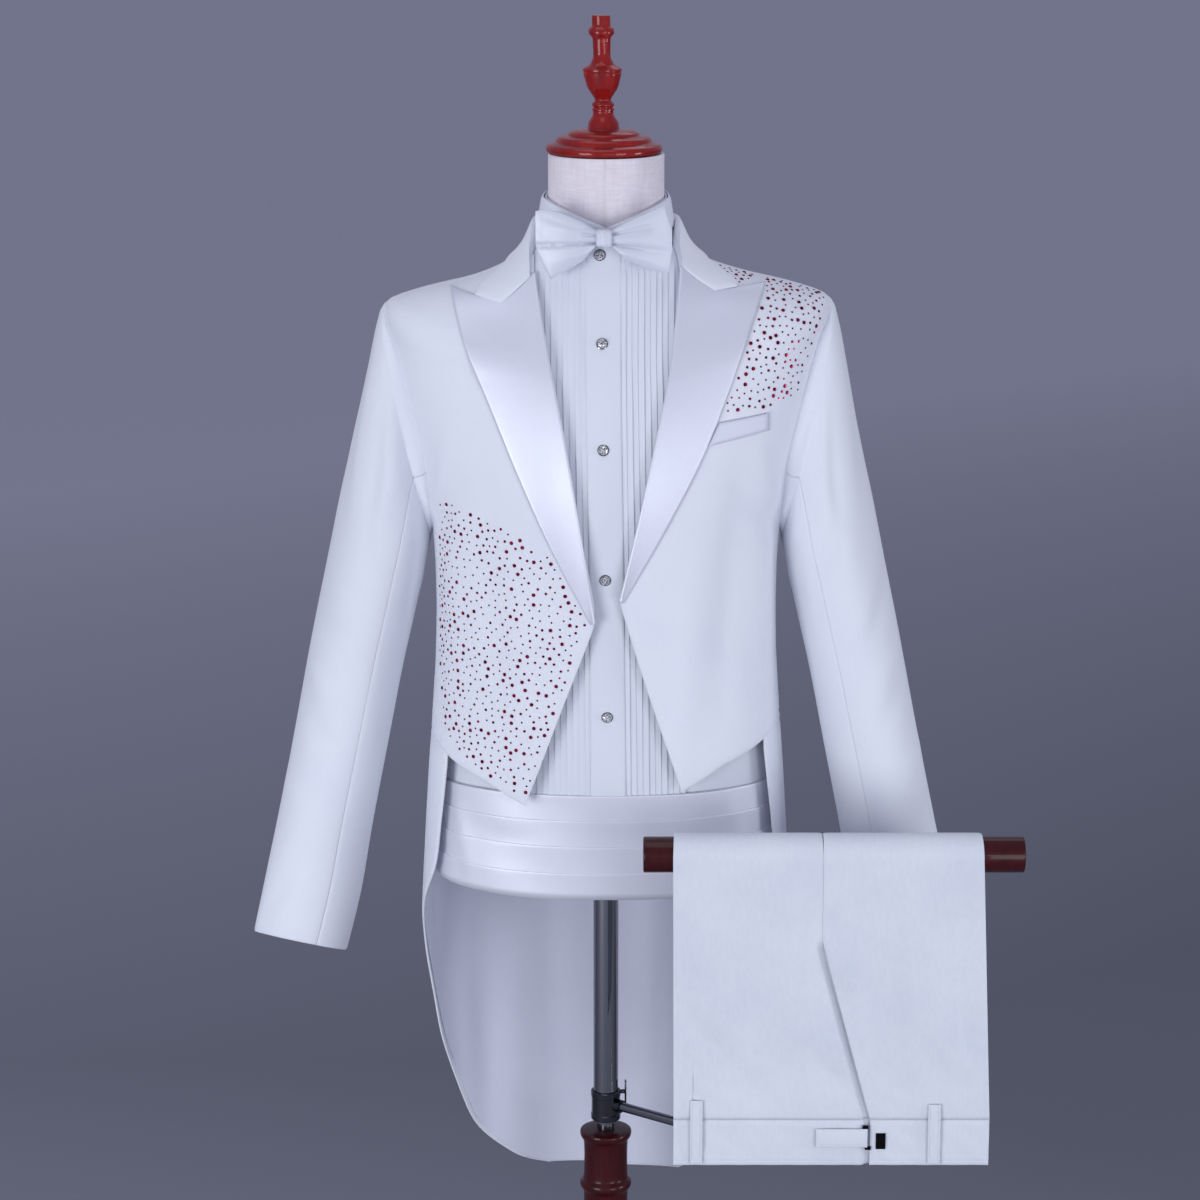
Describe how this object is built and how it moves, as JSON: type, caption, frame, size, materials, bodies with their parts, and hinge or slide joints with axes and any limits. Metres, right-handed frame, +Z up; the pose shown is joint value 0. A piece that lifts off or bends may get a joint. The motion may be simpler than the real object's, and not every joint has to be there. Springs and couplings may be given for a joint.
{
  "type": "white tailcoat suit on a limbless dress form with a turned stand and a trouser bar",
  "caption": "White tailcoat with satin peaked lapels, pleated shirt front, bow tie and cummerbund on a dress form, and its trousers folded over the stand's wooden bar.",
  "frame": {"origin": "middle of the stand's underside, on the floor", "axes": "+Z up along the pole, -Y towards the front of the coat, +X to the viewer's right"},
  "size_m": [0.7545, 0.4031, 1.7085],
  "materials": {
    "suiting": "matte smooth white suiting",
    "satin": "white satin with a soft broad sheen",
    "shirting": "matte white shirting",
    "crystal": "clear faceted stone in a metal cup",
    "form_cover": "pale linen stretched over the form",
    "red_wood": "glossy red-brown varnish",
    "dark_wood": "glossy dark varnish",
    "chrome": "polished",
    "black_metal": "black enamel"
  },
  "bodies": {
    "root": {"bar_arm": "chrome", "base": "dark_wood", "belt_loop_left": "suiting", "belt_loop_right": "suiting", "bow_band": "satin", "bow_knot": "satin", "bow_wing_left": "satin", "bow_wing_right": "satin", "breast_pocket_welt": "satin", "coat_back_left": "suiting", "coat_back_right": "suiting", "coat_collar": "satin", "coat_front_left": "suiting", "coat_front_right": "suiting", "column": "dark_wood", "cummerbund": "satin", "cummerbund_strap": "satin", "dress_form": "form_cover", "finial": "red_wood", "lapel_left": "satin", "lapel_right": "satin", "pole": "chrome", "pole_clamp": "chrome", "shirt_back": "shirting", "shirt_collar_leaf": "shirting", "shirt_collar_stand": "shirting", "shirt_front_left": "shirting", "shirt_front_right": "shirting", "shirt_placket": "shirting", "shirt_pleats_left": "shirting", "shirt_pleats_right": "shirting", "sleeve_top_left": "suiting", "sleeve_top_right": "suiting", "sleeve_under_left": "suiting", "sleeve_under_right": "suiting", "stud_1": "crystal", "stud_2": "crystal", "stud_3": "crystal", "stud_4": "crystal", "stud_5": "crystal", "trouser_bar": "dark_wood", "trouser_leg_left": "suiting", "trouser_leg_right": "suiting", "waist_hook": "black_metal", "waist_tab": "suiting", "waistband_left": "suiting", "waistband_right": "suiting"}
  },
  "joints": []
}
